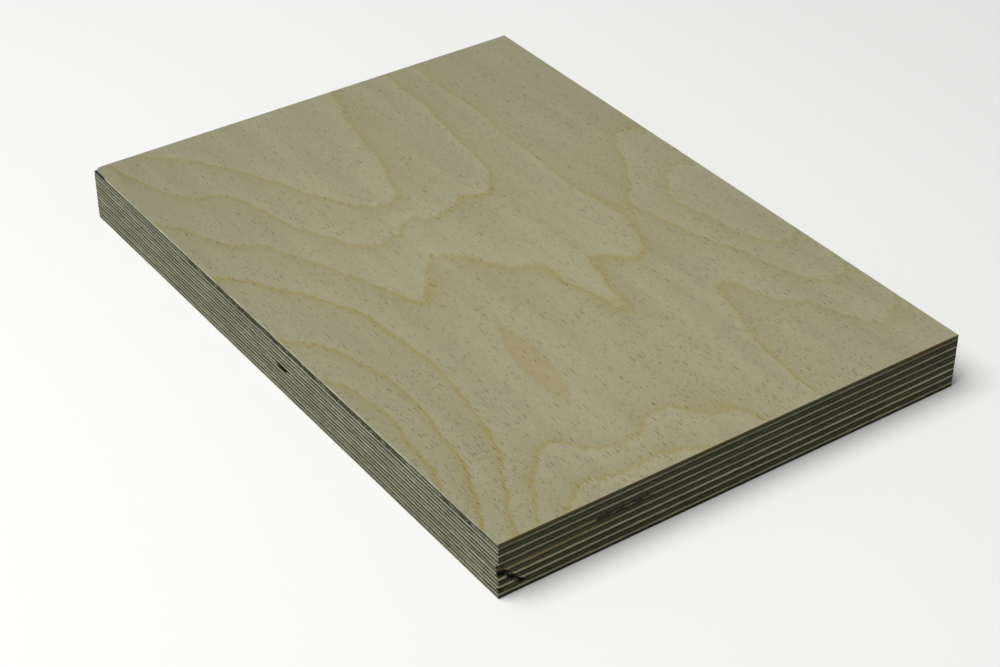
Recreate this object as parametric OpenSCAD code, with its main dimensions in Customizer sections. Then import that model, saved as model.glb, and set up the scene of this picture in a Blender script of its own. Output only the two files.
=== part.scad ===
// A rectangular sheet of birch plywood, cut to sample size and lying flat.
// Rotary-peeled veneers are glued in a stack, each one's grain at right angles
// to its neighbours'. The odd plies run along the length and the even plies,
// the crossbands, run across it. Both sanded face plies are thinner than the core.
// X is across the sheet, Y is along the face grain and Z is up. The origin is
// the middle of the underside.

/* [Sheet] */
// Length along the face grain
sheet_l = 260; // [100:1:1250]
// Width across the face grain
sheet_w = 185; // [80:1:1250]

/* [Plies] */
// Number of plies, odd so that both faces run the same way
ply_count = 15; // [5:2:35]
// Thickness of one core ply after pressing
core_ply_t = 1.47; // [1.2:0.01:3.2]
// Thickness of one face ply after sanding
face_ply_t = 0.945; // [0.6:0.005:2.5]

/* [Wear] */
// Radius to which handling has worn one corner of the top face ply
worn_corner_r = 3; // [1:0.5:12]
// Length of the open core gap along the long edge, in the middle ply
core_gap_l = 8.5; // [3:0.5:20]
// Depth of the core gap into the sheet
core_gap_depth = 12; // [3:0.5:30]
// Place of the gap's middle along the edge, from the middle of the sheet
core_gap_y = -5.25; // [-35:0.25:35]
// Slant of the gap's ends, as the distance that each moves over its depth
core_gap_slant = 2; // [0:0.25:4]

/* [Hidden] */
middle_ply = ceil(ply_count / 2);
sheet_t = 2 * face_ply_t + (ply_count - 2) * core_ply_t;
edge_left = -sheet_w / 2;
edge_back = sheet_l / 2;
past_edge = 1;
face_colour = "#cabd97";
long_colour = "#c7b288";
cross_colour = "#a08a63";
$fn = 48;

// Plies are counted from the top face down
function is_face(i) = i == 1 || i == ply_count;
function is_cross(i) = i % 2 == 0;
function ply_t(i) = is_face(i) ? face_ply_t : core_ply_t;
function ply_top(i) = i == 1 ? sheet_t : sheet_t - face_ply_t - (i - 2) * core_ply_t;
function ply_kind(i) = i == 1 ? "face" : i == ply_count ? "back" : is_cross(i) ? "cross" : "long";
function two_digits(i) = i < 10 ? str("0", i) : str(i);
function ply_name(i) = str("ply_", two_digits(i), "_", ply_kind(i));
function ply_colour(i) = is_face(i) ? face_colour : is_cross(i) ? cross_colour : long_colour;

// The full sheet's outline, cut square by the saw
module sheet_outline() {
    square([sheet_w, sheet_l], center = true);
}

// What is missing between a square corner and its worn, rounded edge
module worn_corner() {
    translate([edge_left, edge_back])
        difference() {
            translate([-past_edge, -worn_corner_r])
                square([worn_corner_r + past_edge, worn_corner_r + past_edge]);
            translate([worn_corner_r, -worn_corner_r])
                circle(r = worn_corner_r);
        }
}

// The slot that stays open where two strips of crossband veneer don't meet
module core_gap() {
    mouth = core_gap_l / 2;
    inner = mouth - core_gap_slant;
    translate([edge_left, core_gap_y])
        polygon([
            [-past_edge, -mouth],
            [0, -mouth],
            [core_gap_depth, -inner],
            [core_gap_depth, inner],
            [0, mouth],
            [-past_edge, mouth],
        ]);
}

module ply(i) {
    color(ply_colour(i))
        translate([0, 0, ply_top(i) - ply_t(i)])
            linear_extrude(height = ply_t(i))
                difference() {
                    sheet_outline();
                    if (i == 1) worn_corner();
                    if (i == middle_ply) core_gap();
                }
}

for (i = [1 : ply_count])
    ply(i);
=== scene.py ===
# %% [markdown]
# # A cut sheet of birch plywood
# The object is a small sheet of multi-ply birch board that lies flat. A knife peels a birch log
# into long veneers, as a sharpener peels a pencil, and they are glued in a stack with each
# one's grain at right angles to the next. The faces show the figure of the growth rings, and
# the four sawn edges show the stack itself: pale plies, dull end-grain plies and dark glue.
#
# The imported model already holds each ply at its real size. This lesson keeps those sizes and
# builds each ply again with the detail of real veneer: sawn fibres, grooves at the glue lines,
# torn grain, a knot, an open gap and a figure of rings on the face.

import math

import bpy
import numpy as np
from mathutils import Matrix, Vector


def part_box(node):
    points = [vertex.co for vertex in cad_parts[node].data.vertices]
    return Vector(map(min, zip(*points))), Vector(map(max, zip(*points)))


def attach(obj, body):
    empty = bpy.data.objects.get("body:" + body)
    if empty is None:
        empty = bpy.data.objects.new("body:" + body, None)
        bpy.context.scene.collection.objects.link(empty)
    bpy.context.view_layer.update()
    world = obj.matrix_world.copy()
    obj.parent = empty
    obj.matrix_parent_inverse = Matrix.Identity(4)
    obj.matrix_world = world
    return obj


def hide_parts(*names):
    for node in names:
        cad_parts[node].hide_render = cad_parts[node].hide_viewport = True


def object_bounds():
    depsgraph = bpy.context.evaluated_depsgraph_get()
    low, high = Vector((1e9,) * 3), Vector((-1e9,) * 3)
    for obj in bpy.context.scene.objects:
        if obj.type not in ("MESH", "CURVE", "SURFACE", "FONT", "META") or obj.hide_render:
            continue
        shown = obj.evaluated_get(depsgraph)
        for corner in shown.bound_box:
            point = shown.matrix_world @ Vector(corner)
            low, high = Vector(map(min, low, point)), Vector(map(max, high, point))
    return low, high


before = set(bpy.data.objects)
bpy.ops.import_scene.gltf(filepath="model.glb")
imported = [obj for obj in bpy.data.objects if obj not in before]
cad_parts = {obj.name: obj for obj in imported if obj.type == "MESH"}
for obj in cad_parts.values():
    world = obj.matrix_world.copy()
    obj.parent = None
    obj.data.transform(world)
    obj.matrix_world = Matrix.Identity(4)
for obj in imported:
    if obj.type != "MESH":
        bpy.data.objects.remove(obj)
frame_low, frame_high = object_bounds()
ply_names = sorted(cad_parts)
sheet = frame_high - frame_low
print(f"{len(ply_names)} plies, sheet", " x ".join(f"{side * 1000:.1f}" for side in sheet), "mm")

# %% [markdown]
# ## Small helpers
# Blender works in metres and a joiner in millimetres, so one constant turns one into the other.
# Colours are written as the usual six-digit hex values, which are sRGB. Shaders count in linear
# light, so one function turns them. Every node below is made with one helper, which adds a
# node, sets its properties and sets or links its inputs. Wood's grain is mostly noise that is
# stretched one way, so that has a helper too.

# %% Units, colours and nodes
MM = 0.001
MATH = "ShaderNodeMath"
VECTOR_MATH = "ShaderNodeVectorMath"
SEPARATE = "ShaderNodeSeparateXYZ"
COMBINE = "ShaderNodeCombineXYZ"
NOISE = "ShaderNodeTexNoise"
MAP_RANGE = "ShaderNodeMapRange"
MIX = "ShaderNodeMix"
ATTRIBUTE = "ShaderNodeAttribute"


def linear(hex_colour):
    """The linear RGBA of an sRGB hex colour such as c8b994."""
    channels = [int(hex_colour[i:i + 2], 16) / 255 for i in (0, 2, 4)]
    return [c / 12.92 if c <= 0.04045 else ((c + 0.055) / 1.055) ** 2.4 for c in channels] + [1.0]


def fill(node, inputs):
    """Sets or links a node's inputs, given by name, or as a list in the order of those in use."""
    if isinstance(inputs, dict):
        pairs = [(node.inputs[name], value) for name, value in inputs.items()]
    else:
        pairs = zip([socket for socket in node.inputs if socket.enabled], inputs)
    for socket, value in pairs:
        if isinstance(value, bpy.types.NodeSocket):
            node.id_data.links.new(value, socket)
        else:
            socket.default_value = value


def adder(tree):
    """The function that adds a node to this tree and returns the output named, or the first."""
    def add(kind, inputs=(), operation=None, output=None, **settings):
        made = tree.nodes.new(kind)
        for name, value in settings.items():
            setattr(made, name, value)
        if operation:
            made.operation = operation
        fill(made, inputs)
        if output:
            return made.outputs[output]
        return next(socket for socket in made.outputs if socket.enabled)
    return add


def stretched_noise(add, place, stretch, detail, roughness=0.5, output=None):
    """Noise stretched along the wood. Its grains are about 1 / stretch long on each axis."""
    stretched = add(VECTOR_MATH, [place, stretch], "MULTIPLY")
    return add(NOISE, {"Vector": stretched, "Scale": 1.0, "Detail": detail, "Roughness": roughness},
               output=output)


def bare_finish(name):
    """Starts a material. Gives it, its shader, its node adder and the place in millimetres."""
    material = bpy.data.materials.new(name)
    material.use_nodes = True
    add = adder(material.node_tree)
    place = add(VECTOR_MATH, [add("ShaderNodeTexCoord", output="Object"), [1 / MM] * 3], "MULTIPLY")
    return material, material.node_tree.nodes["Principled BSDF"], add, place


print("pale birch in linear light:", [round(c, 3) for c in linear("c8b994")[:3]])

# %% [markdown]
# ## The camera
# The sheet is seen from above one corner, with its long edge running away to the left and its
# short edge to the right. A long lens at arm's length keeps the far edges nearly as long as the
# near ones. The camera's place is given from the sheet's near top corner.

# %% Place the camera
LENS_PER_SENSOR_WIDTH = 2.215
CAMERA_FROM_CORNER = Vector((-281.0, -401.9, 418.1)) * MM
VIEW_AZIMUTH = math.radians(54.98)
VIEW_DROP = math.radians(34.99)

near_corner = Vector((frame_low.x, frame_low.y, frame_high.z))
view_direction = Vector((
    math.cos(VIEW_AZIMUTH) * math.cos(VIEW_DROP),
    math.sin(VIEW_AZIMUTH) * math.cos(VIEW_DROP),
    -math.sin(VIEW_DROP),
))
camera = bpy.data.objects.new("camera", bpy.data.cameras.new("camera"))
bpy.context.collection.objects.link(camera)
camera.data.sensor_width = 36.0
camera.data.lens = camera.data.sensor_width * LENS_PER_SENSOR_WIDTH
camera.data.clip_start = 10 * MM
camera.location = near_corner + CAMERA_FROM_CORNER
camera.rotation_euler = view_direction.to_track_quat("-Z", "Y").to_euler()
bpy.context.scene.camera = camera
print(f"lens {camera.data.lens:.1f} mm, {CAMERA_FROM_CORNER.length / MM:.0f} mm from the corner")

# %% [markdown]
# ## Finishes: what a birch edge looks like
# The edges show two looks of one wood. Where the saw ran along the fibres the ply is pale and
# softly streaked. Where it cut across them it looks into the ends of the fibres, which drink
# the light: that is end grain, dull and crumbly. A long ply shows its end grain on the short
# edges and a crossband shows it on the long edges. The phenolic glue is nearly black and soaks
# a little way into the wood on both sides.
#
# Each ply's mesh carries what the shader needs as attributes: `wall`, which is 1 on the long
# edges and 2 on the short ones, `across`, from 0 at the ply's underside to 1 at its top,
# `from_glue`, the millimetres to the nearest joint, `tone`, which is how light the ply is, and
# two stains, `char` and `amber`, which are painted where the wood has a mark.


# %% A finish for sawn edges
WOOD_IOR = 1.5


def sawn_edge(name, end_grain_wall, side_light, side_dark, end_light, end_dark):
    """Birch sawn with a circular saw and left bare. It is matt, and rougher where the fibres end."""
    material, shader, add, place = bare_finish(name)
    wall, from_glue, across, tone, amber, char = [
        add(ATTRIBUTE, output="Fac", attribute_name=note_name)
        for note_name in ("wall", "from_glue", "across", "tone", "amber", "char")
    ]
    is_end = add(MATH, [wall, end_grain_wall, 0.4], "COMPARE")

    # Side grain: streaks about 9 mm long and a quarter of a millimetre high.
    streaks = stretched_noise(add, place, (0.11, 0.11, 3.4), 3.0, 0.6)
    streak_spread = add(MAP_RANGE, [streaks, 0.3, 0.7])
    side = add(MIX, [streak_spread, linear(side_dark), linear(side_light)], data_type="RGBA")
    # End grain: a crumb of fibre ends, and upright cracks that the peeling knife left in the veneer.
    crumb = stretched_noise(add, place, (1.7, 1.7, 2.4), 4.0, 0.65)
    cracks = stretched_noise(add, place, (2.3, 2.3, 0.45), 1.0)
    crack_dark = add(MAP_RANGE, [cracks, 0.58, 0.72, 0.0, 0.3])
    crumb_dark = add(MAP_RANGE, [crumb, 0.32, 0.68])
    darkness = add(MATH, [crumb_dark, crack_dark], "ADD", use_clamp=True)
    end = add(MIX, [darkness, linear(end_light), linear(end_dark)], data_type="RGBA")
    wood = add(MIX, [is_end, side, end], data_type="RGBA")

    # Slow changes of tone, some 25 mm long, and each ply's own tone, which also carries the painted shade
    # that marks press into it.
    slow = stretched_noise(add, place, (0.04, 0.04, 0.6), 2.0)
    slow_value = add(MAP_RANGE, [slow, 0.3, 0.7, 0.84, 1.16])
    value = add(MATH, [slow_value, tone], "MULTIPLY")
    toned = add("ShaderNodeHueSaturation", {"Value": value, "Color": wood})

    # Glue: a nearly black line beside each joint, uneven because it soaks in unevenly. It is thinner on
    # the long edges and wider on the short ones, where it also stands for painted shade along the joints.
    soak = stretched_noise(add, place, (0.32, 0.32, 0.7), 4.0, 0.65)
    reach = add(MAP_RANGE, [soak, 0.3, 0.7, 0.1, 0.3])
    by_wall_with_shade = add(MAP_RANGE, [wall, 1.0, 2.0, 1.15, 1.4])
    shaded_level_reach = add(MATH, [reach, by_wall_with_shade], "MULTIPLY")
    # Painted shadow under the ledge of the ply above, so end grain is darkest at its top.
    ledge_shadow = add(MAP_RANGE, [across, 0.45, 0.6, 0.55, 1.9])
    by_ledge_shadow = add(MIX, [is_end, 1.0, ledge_shadow], data_type="FLOAT")
    shaded_wall_reach = add(MATH, [shaded_level_reach, by_ledge_shadow], "MULTIPLY")
    past_reach = add(MATH, [from_glue, shaded_wall_reach], "SUBTRACT")
    # This dark band is the glue's own colour together with painted shade.
    glue_and_shade = add(MAP_RANGE, [past_reach, -0.06, 0.12, 0.92, 0.0],
               interpolation_type="SMOOTHSTEP")
    glued_and_shaded = add(MIX, [glue_and_shade, toned, linear("14130a")], data_type="RGBA")

    # Stains: amber resin first, then black or red-brown decay over it.
    with_amber = add(MIX, [amber, glued_and_shaded, linear("776a38")], data_type="RGBA")
    decay = add(NOISE, {"Vector": place, "Scale": 0.75, "Detail": 2.0})
    decay_spread = add(MAP_RANGE, [decay, 0.42, 0.58])
    char_colour = add(MIX, [decay_spread, linear("3c251b"), linear("0b0906")],
                      data_type="RGBA")
    finish = add(MIX, [char, with_amber, char_colour], data_type="RGBA")

    roughness = add(MAP_RANGE, [glue_and_shade, 0.0, 1.0, 0.85, 0.55])
    grain_height = add(MIX, [is_end, streaks, crumb], data_type="FLOAT")
    bump = add("ShaderNodeBump", {"Strength": 0.5, "Distance": 0.06 * MM, "Height": grain_height})
    fill(shader, {"Base Color": finish, "Roughness": roughness, "Normal": bump, "IOR": WOOD_IOR,
                  "Specular IOR Level": 0.2})
    print(f"{name}: {len(material.node_tree.nodes)} nodes")
    return material


long_ply_edge = sawn_edge("long_ply_sawn_edge", 2, "b2b297", "6c6b53", "53532f", "2d2d19")
crossband_edge = sawn_edge("crossband_sawn_edge", 1, "9c9b7b", "787858", "abac91", "737259")

# %% [markdown]
# ## The face: sanded rotary-cut birch
# The peeling knife runs almost along the growth rings, so it cuts each ring in long wandering
# loops, like the contour lines of a hill. The face mesh will carry that hill as the attribute
# `growth`: a new ring starts at each whole number. Each ring begins with an amber line and a dull
# band, and ends pale. `growth_slope` holds how fast the hill rises per millimetre, which turns
# a change of height into a distance from the line, so that every line has its real width.
# Fibres tear the line into fine teeth along the grain, and noise stretched that way does it.


# %% A finish for the faces
def sanded_face(name):
    """Birch veneer, peeled and sanded to 120 grit, unvarnished. It is matt with a slight sheen."""
    material, shader, add, place = bare_finish(name)
    growth = add(ATTRIBUTE, output="Fac", attribute_name="growth")
    slope = add(ATTRIBUTE, output="Vector", attribute_name="growth_slope")

    # Fibres shift the rings: teeth a third of a millimetre wide and up to 3 mm long.
    teeth = stretched_noise(add, place, (2.6, 0.16, 0.0), 2.0, output="Color")
    tufts = stretched_noise(add, place, (0.45, 0.05, 0.0), 2.0, output="Color")
    teeth_shift = add(VECTOR_MATH, [teeth, (0.5, 0.5, 0.5)], "SUBTRACT")
    teeth_shift_mm = add(VECTOR_MATH, [teeth_shift, (1.4, 5.0, 0.0)], "MULTIPLY")
    tufts_shift = add(VECTOR_MATH, [tufts, (0.5, 0.5, 0.5)], "SUBTRACT")
    tufts_shift_mm = add(VECTOR_MATH, [tufts_shift, (2.0, 7.0, 0.0)], "MULTIPLY")
    shift_mm = add(VECTOR_MATH, [teeth_shift_mm, tufts_shift_mm], "ADD")
    growth_shift = add(VECTOR_MATH, [slope, shift_mm], "DOT_PRODUCT")
    torn_growth = add(MATH, [growth, growth_shift], "ADD")

    # Distances in millimetres, from the line that began this ring and to the line that ends it.
    steepness = add(VECTOR_MATH, [slope], "LENGTH")
    safe_steepness = add(MATH, [steepness, 0.035], "MAXIMUM")
    since_line = add(MATH, [torn_growth], "FRACT")
    until_line = add(MATH, [1.0, since_line], "SUBTRACT")
    mm_since = add(MATH, [since_line, safe_steepness], "DIVIDE")
    mm_until = add(MATH, [until_line, safe_steepness], "DIVIDE")

    def fading(distance, reach):
        """1 at the line, fading to about a third over reach millimetres."""
        share = add(MATH, [distance, -reach], "DIVIDE")
        return add(MATH, [share], "EXPONENT")

    line_after = fading(mm_since, 1.1)
    line_before = fading(mm_until, 0.5)
    line = add(MATH, [line_after, line_before], "MAXIMUM")
    dull_band = fading(mm_since, 5.0)
    pale_band = fading(mm_until, 3.5)

    # Lines are strongest at the left of the sheet, and come and go along their length.
    patches = add(NOISE, {"Vector": place, "Scale": 0.035, "Detail": 2.0})
    side_to_side = add(SEPARATE, [place])
    end_to_end = side_to_side.node.outputs["Y"]
    by_side = add(MAP_RANGE, [side_to_side, -92.0, 92.0, 0.85, 0.34])
    by_patch = add(MAP_RANGE, [patches, 0.35, 0.65, 0.65, 1.2])
    by_end = add(MAP_RANGE, [end_to_end, -20.0, 120.0, 1.1, 0.7])
    side_and_patch = add(MATH, [by_side, by_patch], "MULTIPLY")
    strength = add(MATH, [side_and_patch, by_end], "MULTIPLY")
    line_strength = add(MATH, [line, strength], "MULTIPLY", use_clamp=True)

    # The ground: two close tones in long soft stripes along the grain.
    stripes = stretched_noise(add, place, (0.11, 0.012, 0.0), 3.0)
    stripes_spread = add(MAP_RANGE, [stripes, 0.3, 0.7])
    ground = add(MIX, [stripes_spread, linear("9e987b"), linear("a7a183")], data_type="RGBA")
    dulled = add(MIX, [add(MATH, [dull_band, 0.3], "MULTIPLY"), ground, linear("979067")],
                 data_type="RGBA")
    paled = add(MIX, [add(MATH, [pale_band, 0.36], "MULTIPLY"), dulled, linear("b0aa8d")],
                data_type="RGBA")
    ringed = add(MIX, [line_strength, paled, linear("9d8e4c")], data_type="RGBA")

    # The grazed eye, its rim frayed by the same teeth.
    inside_eye = add(ATTRIBUTE, output="Fac", attribute_name="eye")
    fray = add(SEPARATE, [teeth_shift_mm])
    frayed_eye = add(MATH, [fray, 1.6, inside_eye], "MULTIPLY_ADD")
    in_eye = add(MAP_RANGE, [frayed_eye, -0.7, 1.0, 0.0, 0.36])
    eyed = add(MIX, [in_eye, ringed, linear("9f8b50")], data_type="RGBA")

    # Fibres: fine long streaks a fifth of a millimetre wide, and the fuzz that sanding leaves.
    fibres = stretched_noise(add, place, (3.4, 0.22, 0.0), 4.0, 0.6)
    fuzz = add(NOISE, {"Vector": place, "Scale": 1.7, "Detail": 3.0, "Roughness": 0.7})
    texture = add(MIX, [0.4, fibres, fuzz], data_type="FLOAT")
    texture_value = add(MAP_RANGE, [texture, 0.3, 0.7, 0.875, 1.125])
    # Painted shade: the far end, the far right and the left side are darker, for light that falls off
    # towards them.
    far_end_shade = add(MAP_RANGE, [end_to_end, 10.0, 130.0, 1.0, 0.91])
    far_right_shade = add(MAP_RANGE, [side_to_side, 20.0, 92.0, 1.0, 0.96])
    left_side_shade = add(MAP_RANGE, [side_to_side, -92.0, -30.0, 0.88, 1.0])
    sides_shade = add(MATH, [left_side_shade, far_right_shade], "MULTIPLY")
    painted_falloff = add(MATH, [far_end_shade, sides_shade], "MULTIPLY")
    face_value = add(MATH, [texture_value, painted_falloff], "MULTIPLY")
    textured = add("ShaderNodeHueSaturation", {"Value": face_value, "Color": eyed})

    # Pores: birch vessels show as dark dashes, 1 to 4 mm long, in cells with one dash each.
    crowds = add(NOISE, {"Vector": place, "Scale": 0.045, "Detail": 2.0})
    by_crowd = add(MAP_RANGE, [crowds, 0.35, 0.65, 0.5, 1.45])
    by_length = add(MAP_RANGE, [end_to_end, -100.0, 110.0, 1.2, 0.6])
    crowding = add(MATH, [by_crowd, by_length], "MULTIPLY")

    def dashes(cell, half_width, half_length, share, offset):
        """Pores in cells of this width and length, of which about this share hold a dash."""
        moved = add(VECTOR_MATH, [place, offset], "ADD")
        cells = add(VECTOR_MATH, [moved, (1 / cell[0], 1 / cell[1], 0.0)], "MULTIPLY")
        voronoi = add("ShaderNodeTexVoronoi", {"Vector": cells, "Scale": 1.0},
                      voronoi_dimensions="2D").node.outputs
        to_centre = add(VECTOR_MATH, [cells, voronoi["Position"]], "SUBTRACT")
        chance = add(SEPARATE, [voronoi["Color"]]).node.outputs
        stretch = (cell[0] / half_width, cell[1] / half_length, 0.0)
        scaled = add(VECTOR_MATH, [to_centre, stretch], "MULTIPLY")
        far = add(VECTOR_MATH, [scaled], "LENGTH")
        size = add(MAP_RANGE, [chance[1], 0.0, 1.0, 0.45, 1.0])
        reach = add(MATH, [far, size], "DIVIDE")
        dash = add(MAP_RANGE, [reach, 0.55, 1.0, 1.0, 0.0])
        local_share = add(MATH, [crowding, share], "MULTIPLY")
        present = add(MATH, [chance[0], local_share], "LESS_THAN")
        depth = add(MAP_RANGE, [chance[2], 0.0, 1.0, 0.15, 1.2])
        shown = add(MATH, [dash, present], "MULTIPLY")
        return add(MATH, [shown, depth], "MULTIPLY")

    long_pores = dashes((1.7, 6.0), 0.16, 1.9, 0.5, (0.0, 0.0, 0.0))
    short_pores = dashes((1.0, 2.8), 0.14, 0.9, 0.5, (31.7, 12.3, 0.0))
    pores = add(MATH, [long_pores, short_pores], "MAXIMUM")
    pore_strength = add(MATH, [pores, 0.8], "MULTIPLY")
    finish = add(MIX, [pore_strength, textured, linear("473a1e")], data_type="RGBA")

    height = add(MATH, [fibres, pores], "SUBTRACT")
    bump = add("ShaderNodeBump", {"Strength": 0.35, "Distance": 0.05 * MM, "Height": height})
    roughness = add(MAP_RANGE, [fibres, 0.0, 1.0, 0.62, 0.74])
    fill(shader, {"Base Color": finish, "Roughness": roughness, "Normal": bump, "IOR": WOOD_IOR,
                  "Specular IOR Level": 0.3})
    print(f"{name}: {len(material.node_tree.nodes)} nodes")
    return material


face_finish = sanded_face("sanded_birch_face")

# %% [markdown]
# ## A tree that saws one veneer
# All the plies follow one rule: a thin rectangle, sawn on four sides. So one Geometry Nodes tree
# makes them all from named inputs. It starts with a gridded box. A core ply's broad faces are
# glued to its neighbours and never seen, so each becomes one flat polygon, and only the outer
# side of a face ply keeps its grid. Then the tree moves points inwards, never outwards, so that
# the sheet stays its real size: a groove beside each glue line, and the roughness that a saw
# leaves. Along the grain that is long low ridges, and across it, where the fibres are cut, a
# fine crumb.


# %% Start the veneer tree and its inputs
def new_tree(name, input_kinds):
    """Starts a Geometry Nodes tree with named inputs. Gives it, its node adder and its inputs."""
    tree = bpy.data.node_groups.new(name, "GeometryNodeTree")
    tree.interface.new_socket("Geometry", in_out="OUTPUT", socket_type="NodeSocketGeometry")
    for input_name, kind in input_kinds.items():
        tree.interface.new_socket(input_name, in_out="INPUT", socket_type="NodeSocket" + kind)
    return tree, adder(tree), tree.nodes.new("NodeGroupInput").outputs


veneer_tree, add, given = new_tree("sawn_veneer", {
    "Width": "Float", "Length": "Float", "Thickness": "Float", "Middle Height": "Float",
    "Spacing": "Float", "Rows": "Int", "Rim Bias": "Float", "Grid Above": "Bool", "Grid Below": "Bool",
    "Grain Along Length": "Bool", "Glue Groove": "Float", "Side Grain Relief": "Float",
    "End Grain Relief": "Float", "Inset": "Float", "Seed": "Float", "Face Material": "Material",
    "Edge Material": "Material",
})
print(len(given) - 1, "named inputs")

# %% The gridded box
point_counts = {}
for side in ("Width", "Length"):
    segments = add(MATH, [given[side], given["Spacing"]], "DIVIDE")
    whole_segments = add(MATH, [segments], "ROUND")
    point_counts[side] = add(MATH, [whole_segments, 1.0], "ADD")
row_points = add(MATH, [given["Rows"], 1.0], "ADD")
box_size = add(COMBINE, [given["Width"], given["Length"], given["Thickness"]])
even_box = add("GeometryNodeMeshCube", {"Size": box_size, "Vertices X": point_counts["Width"],
                                        "Vertices Y": point_counts["Length"], "Vertices Z": row_points})
# The rim bias draws the grid lines closer together near the rim, where the detail is.
here = add("GeometryNodeInputPosition")
half_size = add(VECTOR_MATH, [box_size, (0.5, 0.5, 0.5)], "MULTIPLY")
share = add(VECTOR_MATH, [here, half_size], "DIVIDE")
share_squared = add(VECTOR_MATH, [share, share], "MULTIPLY")
room = add(VECTOR_MATH, [(1.0, 1.0, 1.0), share_squared], "SUBTRACT")
pull = add(VECTOR_MATH, [room, given["Rim Bias"]], "SCALE")
pull_flat = add(VECTOR_MATH, [pull, (1.0, 1.0, 0.0)], "MULTIPLY")
shift_to_rim = add(VECTOR_MATH, [here, pull_flat], "MULTIPLY")
box = add("GeometryNodeSetPosition", {"Geometry": even_box, "Offset": shift_to_rim})

# %% One flat polygon for each hidden broad face
normal = add("GeometryNodeInputNormal")
normal_z = add(SEPARATE, [normal], output="Z")
faces_up = add(MATH, [normal_z, 0.5], "GREATER_THAN")
faces_down = add(MATH, [normal_z, -0.5], "LESS_THAN")
broad = add("FunctionNodeBooleanMath", [faces_up, faces_down], "OR")
walls = add("GeometryNodeDeleteGeometry", {"Geometry": box, "Selection": broad}, domain="FACE")
open_edge = add("FunctionNodeCompare", [add("GeometryNodeInputMeshEdgeNeighbors"), 1], "EQUAL",
                data_type="INT")
height_here = add(SEPARATE, [here], output="Z")
above_middle = add(MATH, [height_here, 0.0], "GREATER_THAN")
top_rim = add("FunctionNodeBooleanMath", [open_edge, above_middle], "AND")
rim_curve = add("GeometryNodeMeshToCurve", {"Mesh": walls, "Selection": top_rim})
lid = add("GeometryNodeFillCurve", {"Curve": rim_curve}, mode="NGONS")

shell = add("GeometryNodeJoinGeometry")
veneer_tree.links.new(walls, shell.node.inputs[0])
half_thickness = add(MATH, [given["Thickness"], 0.5], "MULTIPLY")
for grid_input, direction, faces_out in (("Grid Above", 1.0, faces_up), ("Grid Below", -1.0, faces_down)):
    lid_height = add(MATH, [half_thickness, direction], "MULTIPLY")
    lid_move = add(COMBINE, [0.0, 0.0, lid_height])
    raised = add("GeometryNodeTransform", {"Geometry": lid, "Translation": lid_move})
    flat_lid = raised if direction > 0 else add("GeometryNodeFlipFaces", {"Mesh": raised})
    not_this_side = add("FunctionNodeBooleanMath", [faces_out], "NOT")
    grid_lid = add("GeometryNodeDeleteGeometry", {"Geometry": box, "Selection": not_this_side},
                   domain="FACE")
    chosen = add("GeometryNodeSwitch", {"Switch": given[grid_input], "False": flat_lid, "True": grid_lid},
                 input_type="GEOMETRY")
    veneer_tree.links.new(chosen, shell.node.inputs[0])
closed = add("GeometryNodeMergeByDistance", {"Geometry": shell, "Distance": 0.001 * MM})
print("box, lids and grid")

# %% Notes for the shader, and which way is out
normal_size = add(SEPARATE, [add(VECTOR_MATH, [normal], "ABSOLUTE")]).node.outputs
on_long_edge = add(MATH, [normal_size[0], 0.5], "GREATER_THAN")
on_short_edge = add(MATH, [normal_size[1], 0.5], "GREATER_THAN")
wall_number = add(MATH, [on_short_edge, 2.0, on_long_edge], "MULTIPLY_ADD")
across = add(MATH, [add(MATH, [height_here, given["Thickness"]], "DIVIDE"), 0.5], "ADD")
noted = closed
for note_name, note_value, note_domain in (("wall", wall_number, "FACE"), ("across", across, "POINT")):
    noted = add("GeometryNodeStoreNamedAttribute",
                {"Geometry": noted, "Name": note_name, "Value": note_value},
                data_type="FLOAT", domain=note_domain)
place_sign = add(VECTOR_MATH, [here], "SIGN")
place_size = add(VECTOR_MATH, [here], "ABSOLUTE")
nearly_half = add(VECTOR_MATH, [box_size, (0.4999, 0.4999, 0.4999)], "MULTIPLY")
past = add(VECTOR_MATH, [place_size, nearly_half], "SUBTRACT")
at_wall = add(VECTOR_MATH, [add(VECTOR_MATH, [past], "SIGN"), (0.0, 0.0, 0.0)], "MAXIMUM")
outward = add(VECTOR_MATH, [place_sign, at_wall], "MULTIPLY")

# %% Saw marks: ridges along the grain, crumb across it, a groove at the glue
seed_shift = add(VECTOR_MATH, [(0.0173, 0.0291, 0.0), given["Seed"]], "SCALE")
sample = add(VECTOR_MATH, [here, seed_shift], "ADD")
ridges = stretched_noise(add, sample, (110, 110, 2600), 2.0)
crumbs = stretched_noise(add, sample, (900, 900, 1500), 3.0)
ridge_depth = add(MATH, [ridges, given["Side Grain Relief"]], "MULTIPLY")
crumb_depth = add(MATH, [crumbs, given["End Grain Relief"]], "MULTIPLY")
is_long = given["Grain Along Length"]
depth_x = add("GeometryNodeSwitch", [is_long, crumb_depth, ridge_depth], input_type="FLOAT")
depth_y = add("GeometryNodeSwitch", [is_long, ridge_depth, crumb_depth], input_type="FLOAT")
to_glue = add(MATH, [add(MATH, [height_here, half_thickness], "DIVIDE")], "ABSOLUTE")
groove_shape = add(MATH, [to_glue, 10.0], "POWER")
groove_depth = add(MATH, [groove_shape, given["Glue Groove"], given["Inset"]], "MULTIPLY_ADD")
groove_and_x = add(MATH, [depth_x, groove_depth], "ADD")
groove_and_y = add(MATH, [depth_y, groove_depth], "ADD")
outward_depth = add(VECTOR_MATH, [outward, add(COMBINE, [groove_and_x, groove_and_y])], "MULTIPLY")
inward = add(VECTOR_MATH, [outward_depth, -1.0], "SCALE")
lift = add(COMBINE, [0.0, 0.0, given["Middle Height"]])
move = add(VECTOR_MATH, [inward, lift], "ADD")
sawn = add("GeometryNodeSetPosition", {"Geometry": noted, "Offset": move})

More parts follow.
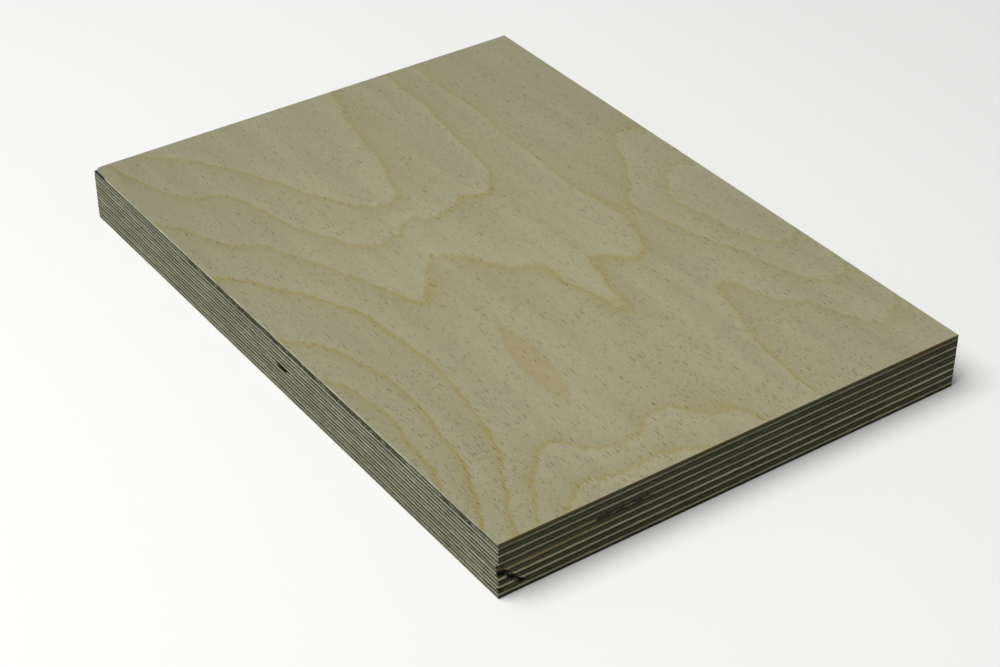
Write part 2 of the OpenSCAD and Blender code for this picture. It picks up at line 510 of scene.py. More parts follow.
# %% Finish the tree
realized = add("GeometryNodeRealizeInstances", {"Geometry": sawn})
edged = add("GeometryNodeSetMaterial", {"Geometry": realized, "Material": given["Edge Material"]})
wall_again = add("GeometryNodeInputNamedAttribute", {"Name": "wall"}, data_type="FLOAT")
is_broad = add(MATH, [wall_again, 0.5], "LESS_THAN")
faced = add("GeometryNodeSetMaterial", {"Geometry": edged, "Selection": is_broad,
                                        "Material": given["Face Material"]})
fill(veneer_tree.nodes.new("NodeGroupOutput"), {"Geometry": faced})
print(f"veneer tree: {len(veneer_tree.nodes)} nodes")

# %% [markdown]
# ## Running a tree
# A modifier's inputs are found by their identifiers, which stay the same when a label changes.
# The evaluated result becomes a plain mesh, so that nothing live is left on the finished piece.


# %% From tree to plain mesh
SHARP_FROM = math.radians(35)


def grow(name, tree, settings):
    """Runs a Geometry Nodes tree with these inputs and returns a plain mesh object."""
    seed_mesh = bpy.data.objects.new(name + "_seed", bpy.data.meshes.new(name + "_seed"))
    bpy.context.collection.objects.link(seed_mesh)
    modifier = seed_mesh.modifiers.new("tree", "NODES")
    modifier.node_group = tree
    identifiers = {i.name: i.identifier for i in tree.interface.items_tree if i.in_out == "INPUT"}
    for label, value in settings.items():
        modifier[identifiers[label]] = value
    evaluated = seed_mesh.evaluated_get(bpy.context.evaluated_depsgraph_get())
    mesh = bpy.data.meshes.new_from_object(evaluated)
    mesh.name = name
    for slot_number in reversed([i for i, m in enumerate(mesh.materials) if m is None]):
        mesh.materials.pop(index=slot_number)
    mesh.shade_smooth()
    mesh.set_sharp_from_angle(angle=SHARP_FROM)
    bpy.data.objects.remove(seed_mesh)
    piece = bpy.data.objects.new(name, mesh)
    bpy.context.collection.objects.link(piece)
    return piece


# %% Saw all the plies
CORE_SPACING = 0.5 * MM
FACE_SPACING = 0.9 * MM
plies = {}
triangle_total = 0
for number, node_name in enumerate(ply_names, start=1):
    low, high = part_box(node_name)
    is_first, is_last = number == 1, number == len(ply_names)
    is_outer = is_first or is_last
    is_crossband = number % 2 == 0
    ply = grow("veneer_" + node_name[4:], veneer_tree, {
        "Width": sheet.x,
        "Length": sheet.y,
        "Thickness": high.z - low.z,
        "Middle Height": (high.z + low.z) / 2,
        "Spacing": FACE_SPACING if is_outer else CORE_SPACING,
        "Rows": 5 if is_outer else 8,
        "Rim Bias": 0.25 if is_outer else 0.0,
        "Grid Above": is_first,
        "Grid Below": is_last,
        "Grain Along Length": not is_crossband,
        "Glue Groove": 0.1 * MM,
        "Side Grain Relief": 0.06 * MM,
        "End Grain Relief": 0.14 * MM,
        "Inset": 0.03 * MM * (number * 7 % 4) / 3,
        "Seed": float(number),
        "Face Material": face_finish if is_outer else long_ply_edge,
        "Edge Material": crossband_edge if is_crossband else long_ply_edge,
    })
    ply.data.calc_loop_triangles()
    triangle_total += len(ply.data.loop_triangles)
    plies[number] = (ply, node_name)
print(f"{len(plies)} plies, {triangle_total} triangles")

# %% [markdown]
# ## The hill of rings
# The figure on the face comes from one smooth surface. Points are placed along each ring line,
# with the ring's number, and a thin-plate spline is drawn through them: the shape that a thin
# sheet of steel would take if it were bent to touch every point. Its contour lines are the
# rings. The figure is an outer tongue of rings, an inner tongue inside it, and two rows of
# hills where the log was wavy.

# %% Points along the rings, in millimetres from the middle of the sheet
RING_LINES = {
    1: [
        [(-76, 130), (-70, 124), (-59, 113), (-52, 101), (-45, 87), (-38, 73), (-33, 62), (-26, 52),
         (-18, 46), (-13, 49), (-8, 60), (-4, 71), (-1, 86), (1, 98), (4, 112), (9, 128)],
    ],
    2: [
        [(-86, 128), (-83, 112), (-78, 97), (-70, 88), (-65, 89), (-59, 80), (-56, 69), (-53, 53),
         (-46, 40), (-40, 29), (-32, 25), (-25, 29), (-17, 34), (-11, 30), (-1, 31), (8, 37), (13, 33),
         (19, 34), (25, 44), (28, 56), (29, 67), (31, 80), (34, 101), (35, 128)],
        [(-67, -129), (-59, -123), (-52, -121), (-44, -124), (-35, -123), (-26, -124), (-19, -127),
         (-14, -130)],
        [(91, 6), (83, 8), (76, 3), (70, -6), (69, -14), (72, -25), (73, -38), (78, -49), (84, -54),
         (92, -49)],
    ],
    3: [
        [(-92, 83), (-87, 77), (-82, 64), (-75, 53), (-67, 48), (-62, 36), (-56, 23), (-52, 12),
         (-47, -1), (-44, -12), (-39, -10), (-34, -5), (-29, 3), (-23, 9), (-15, 3), (-10, -5), (-4, -13),
         (2, -15), (6, -24), (8, -36), (11, -47), (12, -56), (14, -49), (16, -39), (18, -30), (21, -23),
         (28, -26), (35, -33), (41, -28), (45, -18), (48, -10), (46, 8), (45, 36), (46, 67), (47, 101),
         (47, 128)],
        [(-77, -129), (-68, -113), (-59, -103), (-52, -100), (-45, -107), (-38, -112), (-30, -113),
         (-22, -108), (-15, -105), (-10, -107), (-4, -116), (0, -120), (4, -115), (8, -121), (9, -129)],
        [(91, 36), (84, 42), (77, 36), (69, 18), (62, 6), (54, -5), (57, -12), (59, -23), (62, -36),
         (67, -49), (70, -63), (74, -76), (79, -81), (85, -82), (90, -76), (92, -67)],
    ],
    4: [
        [(-92, 41), (-85, 34), (-76, 20), (-67, 5), (-61, -10), (-59, -27), (-58, -45), (-60, -62),
         (-63, -80), (-68, -97), (-77, -113), (-85, -129)],
        [(33, -129), (34, -108), (37, -89), (41, -78), (45, -65), (48, -61), (53, -67), (57, -79),
         (64, -86), (67, -93), (72, -104), (78, -110), (85, -106), (92, -100)],
    ],
    5: [
        [(-92, -5), (-85, -12), (-79, -23), (-75, -36), (-74, -49), (-75, -66), (-78, -84), (-83, -102),
         (-90, -118)],
    ],
    6: [
        [(-92, -31), (-88, -38), (-86, -51), (-87, -73), (-89, -91), (-92, -100)],
    ],
}
# Between the lines, a few heights say whether the wood there is a hill or a hollow.
BETWEEN_RINGS = [
    (-30, 110, 0.7), (-17, 70, 0.8), (-35, 120, 0.6), (81, -15, 1.45), (86, -25, 1.6), (-31, -62, 3.85),
    (-22, -60, 3.7), (-42, -62, 3.7), (-33, -93, 3.75), (30, -60, 3.5), (-10, -90, 3.5), (62, 60, 3.55),
    (62, 110, 3.55), (20, -110, 3.5), (60, -110, 4.5), (50, -120, 4.5), (75, -125, 4.6), (92, 125, 3.4),
    (90, 85, 3.3), (0, -128, 2.4), (-88, -65, 6.3), (-45, -129, 1.7), (-91, 100, 2.6), (-91, 125, 2.2),
    (-70, -30, 4.4), (12, -38, 2.9), (12, -29, 2.85), (20, -14, 2.8), (4, -40, 3.12), (20, -42, 3.12),
    (12, -46, 2.96), (12, -62, 3.12),
]
SMOOTHING = 10.0

ring_points = [(x, y, level) for level, lines in RING_LINES.items() for line in lines for x, y in line]
hill_points = np.array(ring_points + BETWEEN_RINGS, float)
print(f"{len(hill_points)} points on {sum(len(lines) for lines in RING_LINES.values())} ring lines")


# %% Solve the spline once
def spline_kernel(distance_squared):
    """The thin-plate kernel, r squared times log r."""
    return 0.5 * distance_squared * np.log(distance_squared + 1e-9)


def solve_hill(points, smoothing):
    """Weights of a smoothed thin-plate spline through points of x, y and height."""
    place, level = points[:, :2], points[:, 2]
    gaps = place[:, None, :] - place[None, :, :]
    count = len(points)
    kernel = spline_kernel((gaps ** 2).sum(2)) + smoothing * np.eye(count)
    plane = np.column_stack([np.ones(count), place])
    system = np.block([[kernel, plane], [plane.T, np.zeros((3, 3))]])
    return np.linalg.solve(system, np.concatenate([level, np.zeros(3)]))


def read_hill(points, weights, x, y):
    """Height of the spline and its slope per millimetre at each x and y."""
    dx = x[:, None] - points[None, :, 0]
    dy = y[:, None] - points[None, :, 1]
    squared = dx ** 2 + dy ** 2
    bend, plane = weights[:-3], weights[-3:]
    height = spline_kernel(squared) @ bend + plane[0] + plane[1] * x + plane[2] * y
    steepness = np.log(squared + 1e-9) + 1.0
    return height, (dx * steepness) @ bend + plane[1], (dy * steepness) @ bend + plane[2]


hill_weights = solve_hill(hill_points, SMOOTHING)
print("solved", len(hill_weights), "weights")


# %% Reading and writing a mesh's points and attributes
def points_of(mesh):
    """The mesh's points in millimetres, one row each."""
    flat = np.empty(len(mesh.vertices) * 3, np.float32)
    mesh.vertices.foreach_get("co", flat)
    return flat.reshape(-1, 3).astype(float) / MM


def move_points(mesh, places):
    """Writes points in millimetres back to the mesh."""
    mesh.vertices.foreach_set("co", (places * MM).astype(np.float32).ravel())
    mesh.update()


def note(mesh, name, values):
    """Stores one number, or one vector, for each point."""
    kind, field = ("FLOAT", "value") if values.ndim == 1 else ("FLOAT_VECTOR", "vector")
    attribute = mesh.attributes.get(name) or mesh.attributes.new(name, kind, "POINT")
    attribute.data.foreach_set(field, values.astype(np.float32).ravel())


def read_note(mesh, name):
    """One stored number for each point."""
    values = np.empty(len(mesh.vertices), np.float32)
    mesh.attributes[name].data.foreach_get("value", values)
    return values


print("helpers ready")

# %% Write the rings on both faces
face_mesh = plies[1][0].data
face_places = points_of(face_mesh)
heights, slope_x, slope_y = [], [], []
BATCH = 20000
for first in range(0, len(face_places), BATCH):
    part = face_places[first:first + BATCH]
    height, dx, dy = read_hill(hill_points, hill_weights, part[:, 0], part[:, 1])
    heights.append(height)
    slope_x.append(dx)
    slope_y.append(dy)
growth = np.concatenate(heights)
note(face_mesh, "growth", growth)
note(face_mesh, "growth_slope", np.column_stack([np.concatenate(slope_x), np.concatenate(slope_y),
                                                 np.zeros(len(growth))]))
print(f"face: rings from {growth.min():.1f} to {growth.max():.1f}")

# %% [markdown]
# In one place the knife only grazed the top of a ring, and left a golden eye: a slim pointed
# patch along the grain. The attribute `eye` holds how far inside its rim a point is, in
# millimetres, so that the shader can fray the rim along the fibres.

# %% The grazed eye
EYE_TOP, EYE_FOOT = np.array([-28.0, -36.0]), np.array([-34.5, -89.0])
EYE_HALF_WIDTH = 5.4
OUTSIDE_EYE = -9.0
eye_axis = EYE_FOOT - EYE_TOP
from_top = face_places[:, :2] - EYE_TOP
down_eye = np.clip(from_top @ eye_axis / (eye_axis @ eye_axis), 0, 1)
off_axis = np.hypot(*(from_top - down_eye[:, None] * eye_axis).T)
inside_eye = EYE_HALF_WIDTH * 4 * down_eye * (1 - down_eye) - off_axis
note(face_mesh, "eye", np.maximum(inside_eye, OUTSIDE_EYE))
print(f"eye: {(inside_eye > 0).sum()} points inside it")

# %% [markdown]
# The underside is another veneer of the same log, with a plainer figure: one broad cathedral of
# arches leaning to one side. A short formula gives its hill and slope.

# %% The back's cathedral
ARCH_HALF_WIDTH = 34.0
ARCH_LENGTH = 62.0
ARCH_AXIS_X = 14.0
ARCH_LEAN = 0.08
ARCH_STEEPNESS = 2.0
SWAY, SWAY_ACROSS, SWAY_ALONG = 0.45, 21.0, 47.0
BACK_RING = 20.0
back_mesh = plies[len(ply_names)][0].data
back_x, back_y = points_of(back_mesh).T[:2]
across_arch = (back_x - ARCH_AXIS_X - ARCH_LEAN * back_y) / ARCH_HALF_WIDTH
arch = np.sqrt(1.0 + across_arch ** 2)
wave_x, wave_y = back_x / SWAY_ACROSS, back_y / SWAY_ALONG
sway = SWAY * np.sin(wave_x) * np.cos(wave_y)
back_growth = BACK_RING + arch * ARCH_STEEPNESS - back_y / ARCH_LENGTH + sway
lean = across_arch / arch * ARCH_STEEPNESS / ARCH_HALF_WIDTH
sway_x = SWAY / SWAY_ACROSS * np.cos(wave_x) * np.cos(wave_y)
sway_y = -SWAY / SWAY_ALONG * np.sin(wave_x) * np.sin(wave_y)
note(back_mesh, "growth", back_growth)
note(back_mesh, "eye", np.full(len(back_growth), OUTSIDE_EYE))
note(back_mesh, "growth_slope", np.column_stack([
    lean + sway_x, -ARCH_LEAN * lean - 1.0 / ARCH_LENGTH + sway_y, np.zeros(len(back_growth)),
]))
print(f"back: rings from {back_growth.min():.1f} to {back_growth.max():.1f}")

# %% [markdown]
# ## Marks of the real sheet
# No two edges are alike. This one has torn wood under the face veneer, where the saw lifted the
# grain, an open gap where two strips of a crossband don't meet, a decayed knot, and a crack at
# the near corner. Each is pressed into the meshes: points move inwards, the stains `char` and
# `amber` are noted beside them for the shader, and `tone` falls where the wood lies in shade. The
# gap's place and size are read from the CAD ply, so both stay in step. First, every ply gets its
# notes: how far a point is from the nearest glue joint, and its own tone, since each veneer comes
# from another part of the log.

# %% Notes that every ply carries
PLY_TONES = {1: 0.75, 2: 0.58, 4: 0.79, 6: 0.7, 8: 0.82, 10: 1.15, 11: 0.92, 12: 0.98, 13: 1.05,
             14: 0.9}
LONG_EDGE_TONES = {1: 1.3, 2: 0.9, 11: 0.96, 13: 0.97}
FAR_FROM_GLUE = 9.0
WALL_REACH = 0.5
for number, (ply, node_name) in plies.items():
    places = points_of(ply.data)
    low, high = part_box(node_name)
    to_upper_joint = FAR_FROM_GLUE if number == 1 else high.z / MM - places[:, 2]
    to_lower_joint = FAR_FROM_GLUE if number == len(plies) else places[:, 2] - low.z / MM
    note(ply.data, "from_glue", np.minimum(to_upper_joint, to_lower_joint))
    near_long_edge = places[:, 0] < frame_low.x / MM + WALL_REACH
    long_edge_tone, own_tone = LONG_EDGE_TONES.get(number, 1.0), PLY_TONES.get(number, 1.0)
    note(ply.data, "tone", np.where(near_long_edge, long_edge_tone, own_tone))
    note(ply.data, "char", np.zeros(len(places)))
    note(ply.data, "amber", np.zeros(len(places)))
print("notes on", len(plies), "plies")

# %% Soft steps and random patches
LATTICE_SIZE = 97
lattice = np.random.default_rng(7).random((LATTICE_SIZE, LATTICE_SIZE))


def ramp(values, start, end):
    """0 before start, 1 past end, and smooth between."""
    share = np.clip((values - start) / (end - start), 0, 1)
    return share * share * (3 - 2 * share)


def patchy(along, height, size):
    """Smooth random patches from 0 to 1, about size mm across."""
    across, up = along / size, height / size
    column, row = np.floor(across).astype(int), np.floor(up).astype(int)
    right, above = ramp(across - column, 0, 1), ramp(up - row, 0, 1)

    def read_row(row_here):
        """The lattice along one of its rows."""
        start = lattice[column % LATTICE_SIZE, row_here % LATTICE_SIZE]
        end = lattice[(column + 1) % LATTICE_SIZE, row_here % LATTICE_SIZE]
        return start * (1 - right) + end * right

    return read_row(row) * (1 - above) + read_row(row + 1) * above


print("patches:", np.round(patchy(np.arange(4.0), np.zeros(4), 2.0), 2))


# %% A pressing tool
def press(number, wall, shape, depth=0.0, char=0.0, amber=0.0, shade=0.0):
    """Presses a mark into one wall of a ply. shape(along, height) gives 0 to 1, with sizes in mm.

    wall is 1 for the long edge at low X and 2 for the short edge at low Y.
    """
    mesh = plies[number][0].data
    places = points_of(mesh)
    inward_axis = wall - 1
    on_wall = places[:, inward_axis] < frame_low[inward_axis] / MM + WALL_REACH
    covered = np.where(on_wall, shape(places[:, 1 - inward_axis], places[:, 2]), 0.0)
    places[:, inward_axis] += covered * depth
    move_points(mesh, places)
    for name, amount in (("char", char), ("amber", amber)):
        stain = read_note(mesh, name)
        note(mesh, name, np.maximum(stain, covered * amount))
    # shade is painted shade: the tone darkens where the mark lies in shadow.
    note(mesh, "tone", read_note(mesh, "tone") * (1 - covered * shade))


def patch(start, end, bottom, top, ragged=1.0, share=1.0):
    """A mark between two places along the edge and two heights, with a ragged rim.

    Where share is under 1, only about that share of it shows, in patches.
    """
    def shape(along, height):
        tear = (patchy(along, 4 * height, 1.6) - 0.5) * 2 * ragged
        begun = ramp(along + tear, start - 0.6, start + 0.6)
        ended = ramp(along + tear, end - 0.6, end + 0.6)
        uneven = height + 0.35 * tear
        rows = ramp(uneven, bottom - 0.1, bottom + 0.2) * (1 - ramp(uneven, top - 0.2, top + 0.1))
        clumps = patchy(along + 31.0, 3 * height, 2.7)
        return begun * (1 - ended) * rows * ramp(clumps, 0.9 - share, 1.2 - share)
    return shape


def crack(corners, half_width):
    """A narrow mark along a line of corners on the wall."""
    def shape(along, height):
        nearest = np.full(len(along), 1e9)
        for (a0, h0), (a1, h1) in zip(corners, corners[1:]):
            run, rise = a1 - a0, h1 - h0
            share = np.clip(((along - a0) * run + (height - h0) * rise) / (run * run + rise * rise), 0, 1)
            nearest = np.minimum(nearest, np.hypot(along - a0 - share * run, height - h0 - share * rise))
        wandering = nearest + 0.5 * half_width * (patchy(along * 3, height * 3, 1.3) - 0.5)
        return 1 - ramp(wandering, 0.55 * half_width, half_width)
    return shape


LONG_EDGE, SHORT_EDGE = 1, 2
print("pressing tools ready")

# %% The open gap, as the CAD ply has it
GAP_PLY = 8
left_wall = frame_low.x / MM
gap_points = points_of(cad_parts[ply_names[GAP_PLY - 1]].data)
from_corners = sheet.y / MM / 2 - np.abs(gap_points[:, 1])
mouth = gap_points[(gap_points[:, 0] < left_wall + 0.01) & (from_corners > 1), 1]
back_wall = gap_points[(gap_points[:, 0] > left_wall + 1) & (gap_points[:, 0] < -left_wall - 1)]
gap_depth = back_wall[0, 0] - left_wall
gap_middle, gap_half = (mouth.min() + mouth.max()) / 2, np.ptp(mouth) / 2
gap_slant = gap_half - np.ptp(back_wall[:, 1]) / 2
gap_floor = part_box(ply_names[GAP_PLY - 1])[0].z / MM


def gap_reach(along, height):
    """Half the open width: all of it at the top of the ply, and torn fibres lower down."""
    torn_in = 2.0 * (1 - ramp(height, gap_floor, gap_floor + 1.3))
    return gap_half - torn_in - 0.3 * patchy(along, height, 0.9)


def open_gap(along, height):
    """The hole itself, a half moon with slanting ends."""
    reach = gap_reach(along, height)
    return 1 - ramp(np.abs(along - gap_middle), reach - gap_slant, reach)


def gap_shadow(along, height):
    """The painted shadow in the hole, as far as its rim."""
    return 1 - ramp(np.abs(along - gap_middle) - gap_reach(along, height), 0.0, 0.6)


press(GAP_PLY, LONG_EDGE, gap_shadow, shade=0.95)
press(GAP_PLY, LONG_EDGE, open_gap, depth=gap_depth)
print(f"gap {2 * gap_half:.1f} mm wide, {gap_depth:.1f} mm deep, at Y {gap_middle:.2f} mm")

# %% Torn and stained wood on the long edge, with painted shade
gap_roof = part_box(ply_names[GAP_PLY - 1])[1].z / MM
JOINT_UNDER_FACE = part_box(ply_names[0])[0].z / MM
CROSSBAND_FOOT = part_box(ply_names[1])[0].z / MM
torn_foot, above_joint = CROSSBAND_FOOT + 0.1, JOINT_UNDER_FACE + 1
past_gap = gap_middle + gap_half
# The shade of the torn band and of the rows below is painted shadow: under the face veneer, in the torn
# grain and beside the gap, over the wood's own darker tone.
TORN_AND_SHADED = {"depth": 0.12, "amber": 0.15, "shade": 0.82}
# Each row is a ply, its mark's start, end, bottom, top, raggedness and share, and what is pressed.
LONG_EDGE_MARKS = [
    (GAP_PLY, past_gap, past_gap + 5, gap_roof - 0.4, gap_roof + 1, 0.6, 1.0,
     {"depth": 0.1, "shade": 0.7}),
    (2, -131, 122, JOINT_UNDER_FACE - 0.3, above_joint, 1.0, 1.05, {"depth": 0.05, "shade": 0.5}),
    (2, -80, 59, torn_foot, above_joint, 3.0, 1.15, TORN_AND_SHADED),
    (2, -78, 60, JOINT_UNDER_FACE - 0.4, above_joint, 1.0, 0.95, {"depth": 0.1, "shade": 0.6}),
    (2, -64, 44, CROSSBAND_FOOT, CROSSBAND_FOOT + 0.35, 1.0, 0.75, {"depth": 0.1, "shade": 0.7}),
    (2, -117, -98, torn_foot, above_joint, 3.0, 1.1, TORN_AND_SHADED),
    (2, 120, 131, JOINT_UNDER_FACE - 0.7, above_joint, 1.0, 1.0, {"depth": 0.15, "shade": 0.9}),
    (1, 121, 131, JOINT_UNDER_FACE - 1, JOINT_UNDER_FACE + 1.5, 0.6, 1.0, {"depth": 0.1, "shade": 0.95}),
    (2, 58, 63, JOINT_UNDER_FACE - 0.6, above_joint, 1.0, 1.0, {"depth": 0.15, "shade": 0.85}),
    (8, -131, -115, 9.4, 11.4, 1.5, 0.9, {"char": 0.3, "amber": 0.45}),
]
for number, start, end, foot, head, ragged, share, pressed in LONG_EDGE_MARKS:
    press(number, LONG_EDGE, patch(start, end, foot, head, ragged, share), **pressed)
for end, foot, head in ((-129, 9.6, 10.8), (-129.2, 7.4, 8.4), (-129.4, 5.4, 6.2)):
    for number in range(7, 13):
        press(number, LONG_EDGE, patch(-131, end, foot, head, 0.4), depth=0.1, char=0.25, amber=0.95)
print(len(LONG_EDGE_MARKS), "marks on the long edge, and its near corner")

# %% Knot, crack and stains on the short edge
# The rows hold the same things as those of the long edge.
SHORT_EDGE_MARKS = [
    (6, -56, -35.5, 12.6, 14.6, 2.5, 1.02, {"depth": 0.2, "char": 0.95}),
    (5, -54.5, -37, 13.9, 14.5, 1.2, 0.9, {"depth": 0.15, "char": 0.7}),
    (6, -64, -54, 12.7, 14.2, 2.0, 0.7, {"amber": 0.45}),
    (8, -94, -58, 9.5, 11.5, 2.0, 0.95, {"amber": 0.5}),
    (8, -58, -36, 9.5, 11.5, 2.0, 0.5, {"amber": 0.35}),
    (8, -69, -59, 9.7, 11.3, 2.0, 0.7, {"char": 0.5, "amber": 0.6}),
    (2, 62, 94, 18, 21, 4.0, 0.8, {"char": 0.3, "amber": 0.2}),
    (11, 62, 86, 5.3, 7.0, 3.0, 0.7, {"char": 0.3, "amber": 0.35}),
    (1, -94, 94, 19, 20.9, 0.3, 1.2, {"char": 0.45, "amber": 0.6}),
    (1, 20, 94, 19, 20.7, 3.0, 0.8, {"char": 0.5, "amber": 0.5}),
]
for number, start, end, foot, head, ragged, share, pressed in SHORT_EDGE_MARKS:
    press(number, SHORT_EDGE, patch(start, end, foot, head, ragged, share), **pressed)
CRACK_PARTS = [
    ([(-92.6, 13.0), (-91.6, 11.0), (-91.5, 9.4)], 1.5),
    ([(-91.4, 10.4), (-89.7, 8.9), (-88.6, 7.8)], 1.05),
    ([(-88.6, 7.8), (-87.2, 6.3), (-85.8, 5.0)], 0.9),
    ([(-85.8, 5.0), (-84.4, 3.9)], 0.5),
    ([(-84.4, 3.6), (-82.8, 2.5)], 0.8),
    ([(-93.0, 3.6), (-91.2, 3.3)], 0.7),
]
# The crack's tone is painted nearly black: the shadow inside it.
for number in range(7, 15):
    for corners, half_width in CRACK_PARTS:
        press(number, SHORT_EDGE, crack(corners, half_width), depth=1.1, shade=0.97)
print(len(SHORT_EDGE_MARKS), "marks and a crack on the short edge")

# %% [markdown]
# The top veneer's far left corner is worn round. The CAD ply has the corner's radius, and each
# point of the square corner slides along its own ray onto the arc.

# %% Round the worn corner
face_outline = points_of(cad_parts[ply_names[0]].data)
along_left_wall = face_outline[face_outline[:, 0] < left_wall + 0.01, 1]
worn_radius = frame_high.y / MM - along_left_wall.max()
places = points_of(face_mesh)
arc_middle = np.array([left_wall + worn_radius, frame_high.y / MM - worn_radius])
from_middle = (places[:, :2] - arc_middle) * [-1, 1]
in_corner = (from_middle > 0).all(axis=1)
square_reach = from_middle.max(axis=1)
round_reach = np.maximum(np.hypot(*from_middle.T), 1e-9)
shrink = np.where(in_corner, square_reach / round_reach, 1.0)
places[:, :2] = arc_middle + from_middle * shrink[:, None] * [-1, 1]
move_points(face_mesh, places)
print(f"worn corner {worn_radius:.1f} mm, {in_corner.sum()} points moved")

# %% [markdown]
# ## Torn fibres
# Where the saw lifted the grain under the face veneer, loose fibres hang in the groove. Each is
# a slim cone a tenth of a millimetre thick. A second tree stands them along a line and turns
# and stretches each one at random, from a fixed seed. The same tree makes the one pale splinter
# that curls across the top plies. All of them stay behind the sawn surface, inside the sheet.


# %% A finish for loose fibres
def loose_fibre(name, hex_colour):
    """Raw birch fibre, dry and matt, that catches a little more light than the sawn wood."""
    material, shader, add, place = bare_finish(name)
    clumps = add(NOISE, {"Vector": place, "Scale": 0.8, "Detail": 2.0})
    value = add(MAP_RANGE, [clumps, 0.3, 0.7, 0.65, 1.15])
    colour = add("ShaderNodeHueSaturation", {"Value": value, "Color": linear(hex_colour)})
    fill(shader, {"Base Color": colour, "Roughness": 0.8, "IOR": WOOD_IOR, "Specular IOR Level": 0.2})
    return material


torn_fibre = loose_fibre("torn_birch_fibre", "837f63")
pale_fibre = loose_fibre("pale_birch_splinter", "b3ae94")
print("two fibre finishes")

# %% The tree that stands fibres along a line
RANDOM = "FunctionNodeRandomValue"
fibre_tree, add, asked = new_tree("torn_fibres", {
    "Start": "Vector", "End": "Vector", "Count": "Int", "Spread": "Vector", "Shortest": "Float",
    "Longest": "Float", "Thickness": "Float", "Lowest Turn": "Vector", "Highest Turn": "Vector",
    "Seed": "Int", "Material": "Material",
})
line_of_roots = add("GeometryNodeMeshLine", {"Count": asked["Count"], "Start Location": asked["Start"],
                                             "Offset": asked["End"]}, mode="END_POINTS")
backwards = add(VECTOR_MATH, [asked["Spread"], -1.0], "SCALE")
scatter = add(RANDOM, {"Min": backwards, "Max": asked["Spread"], "Seed": asked["Seed"]},
              data_type="FLOAT_VECTOR")
roots = add("GeometryNodeSetPosition", {"Geometry": line_of_roots, "Offset": scatter})
half_thickness_here = add(MATH, [asked["Thickness"], 0.5], "MULTIPLY")
tip = add(MATH, [half_thickness_here, 0.25], "MULTIPLY")
fibre = add("GeometryNodeMeshCone", {"Vertices": 5, "Side Segments": 3, "Radius Top": tip,
                                     "Radius Bottom": half_thickness_here, "Depth": 1 * MM})
turn_seed = add(MATH, [asked["Seed"], 1.0])
turn = add(RANDOM, {"Min": asked["Lowest Turn"], "Max": asked["Highest Turn"], "Seed": turn_seed},
           data_type="FLOAT_VECTOR")
length_seed = add(MATH, [asked["Seed"], 2.0])
# Inputs 2 and 3 of this node are the smallest and largest single number.
length = add(RANDOM, {2: asked["Shortest"], 3: asked["Longest"], "Seed": length_seed}, data_type="FLOAT")
stretch = add(COMBINE, [1.0, 1.0, length])
stood = add("GeometryNodeInstanceOnPoints", {"Points": roots, "Instance": fibre, "Rotation": turn,
                                             "Scale": stretch})
made_real = add("GeometryNodeRealizeInstances", {"Geometry": stood})
finished = add("GeometryNodeSetMaterial", {"Geometry": made_real, "Material": asked["Material"]})
fill(fibre_tree.nodes.new("NodeGroupOutput"), {"Geometry": finished})
print(f"fibre tree: {len(fibre_tree.nodes)} nodes")

# %% Stand the fibres in the groove
FIBRES_PER_MM = 1.6
TORN_FROM, TORN_TO = -103.0, 121.0
hanging = Vector((left_wall + 0.45, 0.0, JOINT_UNDER_FACE - 0.05)) * MM
fibres = grow("torn_fibres", fibre_tree, {
    "Start": hanging + Vector((0, TORN_FROM, 0)) * MM,
    "End": hanging + Vector((0, TORN_TO, 0)) * MM,
    "Count": int((TORN_TO - TORN_FROM) * FIBRES_PER_MM),
    "Spread": Vector((0.1, 0.4, 0.0)) * MM,
    "Shortest": 0.4,
    "Longest": 1.5,
    "Thickness": 0.11 * MM,
    "Lowest Turn": (math.radians(105), math.radians(-12), 0.0),
    "Highest Turn": (math.radians(255), math.radians(12), 0.0),
    "Seed": 3,
    "Material": torn_fibre,
})
SPLINTER_Y = -19.3
splinter_root = Vector((left_wall + 0.35, 0.0, JOINT_UNDER_FACE - 0.1)) * MM
splinter = grow("pale_splinter", fibre_tree, {
    "Start": splinter_root + Vector((0, SPLINTER_Y - 0.6, 0)) * MM,
    "End": splinter_root + Vector((0, SPLINTER_Y + 0.6, 0)) * MM,
    "Count": 9,
    "Spread": Vector((0.05, 0.15, 0.1)) * MM,
    "Shortest": 1.2,
    "Longest": 2.3,
    "Thickness": 0.24 * MM,
    "Lowest Turn": (math.radians(165), math.radians(-2), 0.0),
    "Highest Turn": (math.radians(215), math.radians(5), 0.0),
    "Seed": 11,
    "Material": pale_fibre,
})
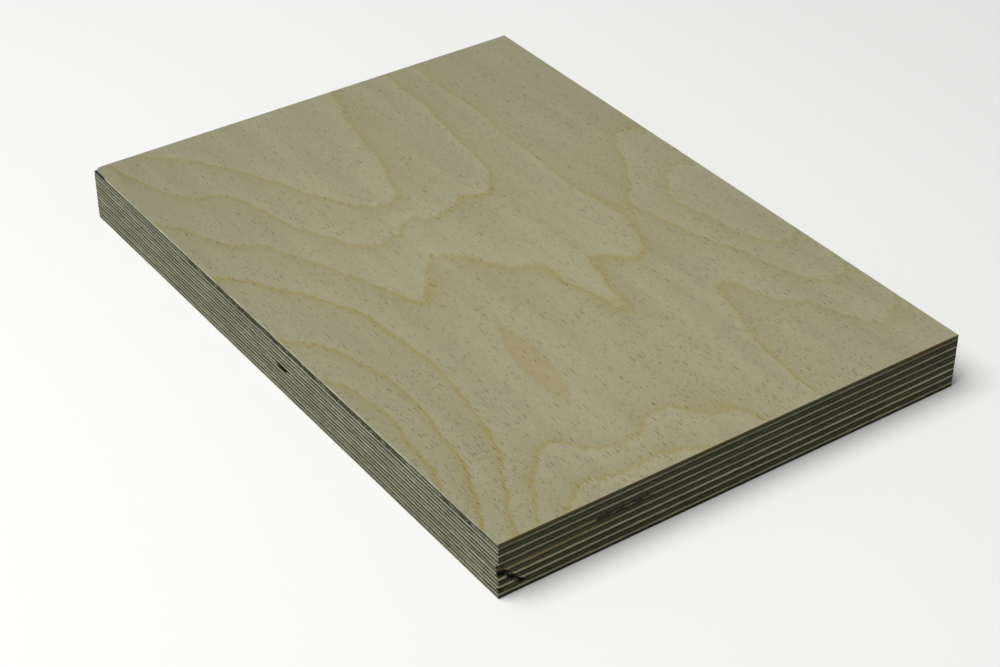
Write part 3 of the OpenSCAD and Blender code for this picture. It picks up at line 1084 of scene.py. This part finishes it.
BEHIND_SAW_CUT = 0.03
for piece in (fibres, splinter):
    places = points_of(piece.data)
    places[:, 0] = np.maximum(places[:, 0], left_wall + BEHIND_SAW_CUT)
    move_points(piece.data, places)
    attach(piece, "root")
    print(f"{piece.name}: {len(piece.data.polygons)} faces, x from {places[:, 0].min():.2f} mm")

# %% Put the pieces in place of the CAD plies
for number, (ply, node_name) in plies.items():
    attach(ply, "root")
    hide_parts(node_name)
print(f"{len(plies)} pieces ride on root")

# %% [markdown]
# ## Floor and light
# The floor is a sheet of paper, matt and nearly white. One large soft lamp stands high on the
# left, so that the top is brightest, the long edge is nearly as bright and the short edge falls
# into shade. A pale world fills the shadows.

# %% Floor, lamp and world
FLOOR_HALF = 4.0
floor_mesh = bpy.data.meshes.new("floor")
floor_corners = [(x * FLOOR_HALF, y * FLOOR_HALF, 0) for x, y in ((-1, -1), (1, -1), (1, 1), (-1, 1))]
floor_mesh.from_pydata(floor_corners, [], [range(4)])
floor = bpy.data.objects.new("floor", floor_mesh)
bpy.context.collection.objects.link(floor)
paper = bpy.data.materials.new("matt_white_paper")
paper.use_nodes = True
fill(paper.node_tree.nodes["Principled BSDF"], {"Base Color": linear("fbfbfa"), "Roughness": 0.95})
floor_mesh.materials.append(paper)

LAMP_DIRECTION = Vector((-0.38, 0.05, 0.92)).normalized()
LAMP_DISTANCE = 1.6
lamp_light = bpy.data.lights.new("soft_lamp", "AREA")
lamp_light.shape = "DISK"
lamp_light.size = 1.3
lamp_light.energy = 24.0
lamp = bpy.data.objects.new("soft_lamp", lamp_light)
bpy.context.collection.objects.link(lamp)
lamp.location = LAMP_DIRECTION * LAMP_DISTANCE
lamp.rotation_euler = (-LAMP_DIRECTION).to_track_quat("-Z", "Y").to_euler()

world = bpy.data.worlds.new("pale_room")
world.use_nodes = True
fill(world.node_tree.nodes["Background"], {"Color": linear("ffffff"), "Strength": 0.2})
bpy.context.scene.world = world
bpy.context.scene.view_settings.view_transform = "Standard"
bpy.context.scene.view_settings.look = "None"
